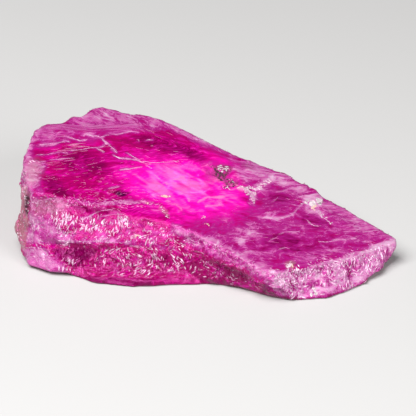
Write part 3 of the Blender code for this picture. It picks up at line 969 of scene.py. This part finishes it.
def rimed(n, colour, rime, glow):
    """The body colour under a skin that pales with its frosting. Over the painted glow the frost is painted
    as glowing too.
    """
    lit = n.spread(glow, 0.25, 0.65)
    colour = n.blend(n.spread(rime, 0.05, 0.35), colour, n.blend(lit, ORCHID, colour))
    colour = n.blend(n.spread(rime, 0.35, 0.70), colour, n.blend(lit, LILAC, LIT_VEIL))
    return n.blend(n.spread(rime, 0.70, 1.15), colour, n.blend(lit, PALE_LILAC, LIT_VEIL))


def marked(n, colour, grain, strokes):
    """The colour with the painted glints of the bright strokes and the stains of other minerals."""
    colour = n.blend(strokes, colour, GLINT_STROKE)
    colour = n.blend(n.attribute("cream"), colour, CREAM)
    specks = n.times(n.attribute("grey"), n.spread(grain, 0.38, 0.55, 0.45, 1.0))
    return n.blend(specks, colour, GREY)


def relief(n, streak, glow, grain, frost):
    """The normal of a skin with fine ripples, grainy where it is frosted."""
    ripples = n.times(streak, n.spread(glow, 0.2, 0.7, 1.0, 0.3))
    height = n.plus(ripples, n.times(grain, frost))
    inputs = {"Height": height, "Distance": BUMP_HEIGHT, "Strength": BUMP_STRENGTH}
    return n.add("ShaderNodeBump", inputs).outputs["Normal"]


def sapphire():
    """The see-through pink material of the crystal."""
    n = Nodes("sapphire")
    # The glow attribute is a painted glow, and dark holds deep places and painted shade.
    frost, dark, glow, side = (n.attribute(name) for name in ("frost", "dark", "glow", "side"))
    flow = n.flow()
    broad = n.noise(flow, 0.45, (2.0, 1.0, 1.0), detail=5.0, rough=0.6, warp=0.6)
    streak = n.noise(flow, 0.055, (8.0, 1.0, 3.0), detail=3.0, warp=0.5)
    fine = n.times(n.spread(streak, 0.50, 0.68), n.spread(broad, 0.40, 0.60, 0.25, 1.0))
    grain = n.noise(n.place(), 0.07, (1.0, 1.0, 1.6), detail=2.0)
    on_top = n.times(top_rime(n, flow, frost, glow, broad, fine), n.maths("SUBTRACT", 1.0, side))
    rime = n.plus(on_top, n.times(side_rime(n, frost, grain), side))
    colour = rimed(n, body_colour(n, glow, dark, broad, streak, fine), rime, glow)
    clear = n.maths("SUBTRACT", n.spread(rime, 0.0, 0.7, 0.45, 0.08), n.times(glow, 0.25))
    n.feed(n.shader, {
        "Base Color": marked(n, colour, grain, painted_glint_strokes(n, flow, side, dark, broad)),
        "Roughness": n.spread(rime, 0.0, 1.0, 0.12, 0.38),
        "Transmission Weight": n.spread(clear, 0.0, 1.0),
        "IOR": SAPPHIRE_IOR,
        "Specular IOR Level": SHEEN_LEVEL,
        "Specular Tint": SHEEN_TINT,
        "Subsurface Weight": SCATTER_WEIGHT,
        "Subsurface Radius": SCATTER_RADIUS,
        "Subsurface Scale": SCATTER_DEPTH,
        "Normal": relief(n, streak, glow, grain, frost),
    })
    absorb = n.add("ShaderNodeVolumeAbsorption", {"Color": ABSORPTION_COLOUR, "Density": ABSORPTION_DENSITY})
    n.feed(n.output, {"Volume": absorb.outputs["Volume"]})
    return n.material


def dressed_crystal(node):
    """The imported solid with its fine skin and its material, in millimetres."""
    skin = remeshed(node)
    add_relief(skin)
    paint_skin(skin)
    shade_skin(skin.data)
    skin.data.materials.clear()
    skin.data.materials.append(sapphire())
    return skin


def tangent_frame(normal, run):
    """Unit vectors along a run on a surface and across it."""
    along = (run - normal * run.dot(normal)).normalized()
    return along, normal.cross(along)


def add_ribbon(bm, tree, width, path):
    """A thin tapered ribbon with a raised middle, laid on the skin along a path of pixels."""
    hits = [hit for hit in (cast(tree, column, row) for column, row in path) if hit]
    if len(hits) < 3:
        return
    shortest, longest = RIBBON_RUNS
    rows = []
    last = len(hits) - 1
    for i, (place, normal) in enumerate(hits):
        run = hits[min(i + 1, last)][0] - hits[max(i - 1, 0)][0]
        if run.length < shortest or run.length > longest:
            return
        across = tangent_frame(normal, run)[1]
        swell = max(0.0, math.sin(math.pi * i / last)) ** RIBBON_FULLNESS
        half = 0.5 * width * (RIBBON_END_SHARE + (1.0 - RIBBON_END_SHARE) * swell)
        foot = place - normal * RIBBON_SINK
        top = place + normal * (RIBBON_LIFT + RIBBON_ARCH * half)
        rows.append([bm.verts.new(point) for point in (foot - across * half, top, foot + across * half)])
    for near, far in zip(rows, rows[1:]):
        for j in (0, 1):
            bm.faces.new((near[j], near[j + 1], far[j + 1], far[j]))


def smooth_path(points):
    """Points every few pixels along a Catmull-Rom curve through the given ones."""
    padded = [points[0], *points, points[-1]]
    path = []
    for a, b, c, d in zip(padded, padded[1:], padded[2:], padded[3:]):
        a, b, c, d = (Vector(point) for point in (a, b, c, d))
        steps = max(2, round((c - b).length / CRACK_SPACING))
        for i in range(steps):
            t = i / steps
            path.append(0.5 * (2 * b + (c - a) * t + (2 * a - 5 * b + 4 * c - d) * t * t
                               + (3 * b - a - 3 * c + d) * t * t * t))
    path.append(Vector(points[-1]))
    return path


def ragged(path, rng, amount):
    """The path with each point moved at random by up to an amount of pixels."""
    return [(x + rng.uniform(-amount, amount), y + rng.uniform(-amount, amount)) for x, y in path]


def random_place(rng, outline):
    """A random pixel inside an outline."""
    columns = [point[0] for point in outline]
    rows = [point[1] for point in outline]
    while True:
        column = rng.uniform(min(columns), max(columns))
        row = rng.uniform(min(rows), max(rows))
        if inside_distance(np.array([column]), np.array([row]), outline)[0] > 0:
            return column, row


def fleck_path(rng, start, length, bearing):
    """A short wavering path of pixels from a start. The bearing is in degrees, counted up from the right."""
    steps = max(3, round(length / FLECK_STEP))
    turn = math.radians(bearing)
    bend = rng.uniform(-FLECK_BEND, FLECK_BEND)
    column, row = start
    path = []
    for _ in range(steps + 1):
        path.append((column, row))
        column += length / steps * math.cos(turn)
        row -= length / steps * math.sin(turn)
        turn += (bend + rng.uniform(-FLECK_WANDER, FLECK_WANDER)) / steps
    return path


def add_broken_crack(bm, tree, rng, width, path):
    """A crack as a string of tapered ribbons of uneven width, some beside the others and some apart."""
    for _ in range(CRACK_PASSES):
        start = rng.randint(0, 2)
        while start < len(path) - 3:
            stop = start + rng.randint(*CRACK_RUN)
            shift = Vector((rng.uniform(-CRACK_SHIFT, CRACK_SHIFT), rng.uniform(-CRACK_SHIFT, CRACK_SHIFT)))
            run = [point + shift for point in path[start:stop + 1]]
            add_ribbon(bm, tree, width * rng.uniform(*CRACK_WIDTHS), ragged(run, rng, CRACK_RAGGEDNESS))
            start = stop + rng.choice(CRACK_GAPS)


def mesh_piece(name, bm, material):
    """One object made of everything that was added to a mesh."""
    mesh = bpy.data.meshes.new(name)
    bm.to_mesh(mesh)
    bm.free()
    mesh.materials.append(material)
    return new_object(name, mesh)


def healed_cracks(tree, material):
    """The listed cracks."""
    rng = random.Random("cracks")
    bm = bmesh.new()
    for width, points in PALE_CRACKS:
        add_broken_crack(bm, tree, rng, width, smooth_path(points))
    return mesh_piece("healed_cracks", bm, material)


def flecks(tree, material):
    """Groups of short flecks."""
    rng = random.Random("flecks")
    bm = bmesh.new()
    for outline, count, lengths, widths, bearing, spread in FLECK_FIELDS:
        for _ in range(count // FLECK_GROUP):
            column, row = random_place(rng, outline)
            group_bearing = rng.gauss(bearing, spread)
            for _ in range(rng.randint(1, 2 * FLECK_GROUP - 1)):
                start = (column + rng.gauss(0.0, FLECK_REACH[0]), row + rng.gauss(0.0, FLECK_REACH[1]))
                path = fleck_path(rng, start, rng.uniform(*lengths), rng.gauss(group_bearing, FLECK_TURN))
                add_ribbon(bm, tree, rng.uniform(*widths), path)
    return mesh_piece("flecks", bm, material)


def add_blade(bm, place, normal, run, length, width, tilt):
    """A thin four-sided splinter half sunk in the skin, tilted about its length."""
    along, across = tangent_frame(normal, run)
    leaning = Matrix.Rotation(tilt, 3, along) @ across
    up = along.cross(leaning)
    ends = (place - along * length / 2, place + along * length / 2)
    sides = (place - leaning * width / 2, place + leaning * width / 2)
    peak = bm.verts.new(place + up * width * SPLINTER_HEIGHT)
    ring = [bm.verts.new(point) for point in (ends[0], sides[0], ends[1], sides[1])]
    for i in range(4):
        bm.faces.new((ring[i], ring[(i + 1) % 4], peak))


def add_seen_fan(bm, tree, rng, field):
    """One fan of splinters in a field of the photograph."""
    outline, _, lengths, bearing, spread = field
    column, row = random_place(rng, outline)
    fan_bearing = rng.gauss(bearing, spread)
    for _ in range(rng.randint(2, 2 * FAN_SIZE - 2)):
        hit = cast(tree, column + rng.gauss(0.0, FAN_REACH), row + rng.gauss(0.0, FAN_REACH * FAN_FLATNESS))
        turn = math.radians(rng.gauss(fan_bearing, FAN_TURN))
        length = rng.uniform(*lengths) / PIXELS_PER_MM
        width = length * rng.uniform(*SPLINTER_WIDTHS)
        tilt = rng.uniform(-SPLINTER_TILT, SPLINTER_TILT)
        if hit:
            run = VIEW_RIGHT * math.cos(turn) + VIEW_UP * math.sin(turn)
            add_blade(bm, *hit, run, length, width, tilt)


def unseen_sides(skin):
    """Faces of the broken sides that the photograph doesn't show."""
    return [
        polygon for polygon in skin.data.polygons
        if abs(polygon.normal.z) < UPRIGHT and polygon.normal.dot(VIEW_AHEAD) > TURNED_AWAY
    ]


def add_unseen_splinter(bm, rng, polygon):
    """One splinter on a face that the photograph doesn't show."""
    run = Vector((rng.gauss(0.0, UNSEEN_GLINT_LEAN), rng.gauss(0.0, UNSEEN_GLINT_LEAN), 1.0))
    length = rng.uniform(*UNSEEN_GLINT_LENGTHS)
    tilt = rng.uniform(-SPLINTER_TILT, SPLINTER_TILT)
    add_blade(bm, polygon.center, polygon.normal, run, length, UNSEEN_GLINT_WIDTH * length, tilt)


def side_glints(tree, skin, material):
    """Splinters of the broken sides, in fans where the photograph shows them."""
    rng = random.Random("glints")
    bm = bmesh.new()
    for field in GLINT_FIELDS:
        for _ in range(field[1] // FAN_SIZE):
            add_seen_fan(bm, tree, rng, field)
    for polygon in rng.sample(unseen_sides(skin), UNSEEN_GLINTS):
        add_unseen_splinter(bm, rng, polygon)
    return mesh_piece("side_glints", bm, material)


def add_grain(bm, rng, place, normal, radius, flatness):
    """A small angular lump, half sunk in the skin."""
    turn = Matrix.Rotation(rng.uniform(*GRAIN_TURNS), 4, "Z")
    upright = normal.to_track_quat("Z", "Y").to_matrix().to_4x4()
    breadths = [radius * rng.uniform(*GRAIN_BREADTHS) for _ in range(2)]
    shape = Matrix.Diagonal((*breadths, radius * flatness, 1.0))
    matrix = Matrix.Translation(place) @ (upright @ turn) @ shape
    lump = bmesh.ops.create_icosphere(bm, subdivisions=1, radius=1.0, matrix=matrix)
    for vertex in lump["verts"]:
        vertex.co += Vector([rng.uniform(-1, 1) for _ in range(3)]) * radius * GRAIN_JITTER


def grain_piece(tree, name, clusters, material):
    """Clusters of grains, each with an outline of pixels, a count, a range of radii in mm and a flatness."""
    rng = random.Random(name)
    bm = bmesh.new()
    for outline, count, radii, flatness in clusters:
        for _ in range(count):
            hit = cast(tree, *random_place(rng, outline))
            radius = rng.uniform(*radii)
            if hit:
                add_grain(bm, rng, *hit, radius, flatness)
    return mesh_piece(name, bm, material)


def simple_material(name, colour, roughness, transmission=0.0, speckle=0.3, gloss=0.5):
    """A mineral with a mottled colour."""
    n = Nodes(name)
    mottle = n.noise(n.place(), MOTTLE_SIZE, detail=2.0)
    dim = tuple(share * (1.0 - speckle) for share in colour[:3]) + (1.0,)
    n.feed(n.shader, {
        "Base Color": n.blend(n.spread(mottle, 0.35, 0.65), dim, colour),
        "Roughness": roughness,
        "Transmission Weight": transmission,
        "IOR": SAPPHIRE_IOR,
        "Specular IOR Level": gloss,
    })
    return n.material


def surface_features(tree, skin):
    """The joined meshes of small features that lie on the skin."""
    veil = simple_material("veil", VEIL_COLOUR, 0.40, 0.30)
    fleck = simple_material("fleck", FLECK_COLOUR, 0.35, 0.20, speckle=0.5)
    splinter = simple_material("splinter", SPLINTER_AND_GLINT_COLOUR, 0.24, 0.10, speckle=0.55)
    white = simple_material("white_mineral", WHITE_COLOUR, 0.5, speckle=0.5)
    crust = simple_material("pink_crust", CRUST_COLOUR, 0.4, 0.10, speckle=0.5)
    cream = simple_material("cream_mineral", CREAM_COLOUR, 0.55)
    mica = simple_material("grey_mica", MICA_COLOUR, 0.75, speckle=0.7, gloss=0.1)
    return (
        healed_cracks(tree, veil),
        flecks(tree, fleck),
        side_glints(tree, skin, splinter),
        grain_piece(tree, "white_grains", WHITE_GRAINS, white),
        grain_piece(tree, "crust", CRUST_GRAINS, crust),
        grain_piece(tree, "cream_grains", CREAM_GRAINS, cream),
        grain_piece(tree, "dark_grains", DARK_GRAINS, mica),
    )


def floor_plane():
    """The plain floor that the crystal lies on."""
    bpy.ops.mesh.primitive_plane_add(size=FLOOR_SIZE, location=(0.0, 0.0, 0.0))
    floor = bpy.context.object
    floor.name = "floor"
    n = Nodes("pale_floor")
    n.feed(n.shader, {"Base Color": FLOOR_COLOUR, "Roughness": FLOOR_ROUGHNESS})
    floor.data.materials.append(n.material)


def area_light(name, place, size, power):
    """A soft rectangular light turned towards the crystal."""
    light = bpy.data.lights.new(name, "AREA")
    light.shape = "RECTANGLE"
    light.size, light.size_y = size
    light.energy = power
    obj = new_object(name, light)
    obj.location = place
    obj.rotation_euler = (-Vector(place)).to_track_quat("-Z", "Y").to_euler()


def add_lights():
    """Two soft lights in a dim room."""
    area_light("key", *KEY_LIGHT)
    area_light("fill", *FILL_LIGHT)
    world = bpy.data.worlds.new("room")
    bpy.context.scene.world = world
    world.use_nodes = True
    world.node_tree.nodes["Background"].inputs["Color"].default_value = ROOM_COLOUR


def add_camera():
    """The photograph's camera, set as the scene's."""
    camera = bpy.data.cameras.new("camera")
    camera.lens = LENS
    camera.sensor_width = SENSOR
    camera.clip_start = NEAREST * MM
    obj = new_object("camera", camera)
    obj.location = EYE * MM
    obj.rotation_euler = VIEW_AHEAD.to_track_quat("-Z", "Y").to_euler()
    bpy.context.scene.camera = obj


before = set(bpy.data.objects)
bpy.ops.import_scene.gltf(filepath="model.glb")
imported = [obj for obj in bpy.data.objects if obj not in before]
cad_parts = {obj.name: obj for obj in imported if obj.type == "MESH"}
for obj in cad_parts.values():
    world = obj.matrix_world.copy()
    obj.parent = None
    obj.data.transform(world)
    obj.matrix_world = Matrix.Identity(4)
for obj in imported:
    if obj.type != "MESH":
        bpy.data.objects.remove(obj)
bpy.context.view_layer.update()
crystal = dressed_crystal(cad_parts["crystal"])
skin_tree = BVHTree.FromPolygons(
    [vertex.co for vertex in crystal.data.vertices], [polygon.vertices for polygon in crystal.data.polygons]
)
for piece in (crystal, *surface_features(skin_tree, crystal)):
    piece.data.transform(Matrix.Scale(MM, 4))
    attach(piece, "root")
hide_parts("crystal")
floor_plane()
add_lights()
add_camera()
bpy.context.scene.view_settings.view_transform = "Standard"
bpy.context.scene.cycles.use_denoising = True
